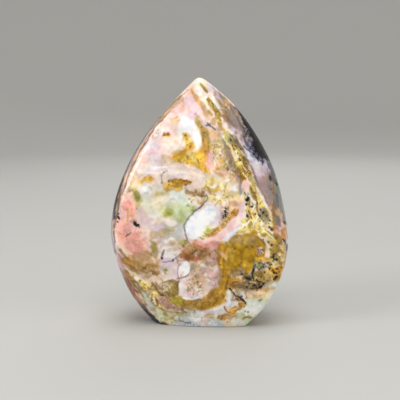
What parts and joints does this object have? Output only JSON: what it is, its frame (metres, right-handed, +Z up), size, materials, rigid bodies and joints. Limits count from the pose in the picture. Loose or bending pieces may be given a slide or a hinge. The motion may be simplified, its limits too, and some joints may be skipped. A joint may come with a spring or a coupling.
{
  "type": "polished pink opal flame",
  "caption": "Polished upright flame of pink opal with four rounded ridges rising to a blunt tip from a small flat foot, to stand as an ornament.",
  "frame": {"origin": "on the surface that the foot stands on, under the middle of the stone's box", "axes": "+Z up from foot to tip, +X to the right along the broad front, +Y from the front to the back"},
  "size_m": [0.0816, 0.0436, 0.112],
  "materials": {
    "polished_opal": "polished pink and cream opal with ochre, gold and black matrix"
  },
  "bodies": {
    "root": {"pink_opal": "polished_opal"}
  },
  "joints": []
}
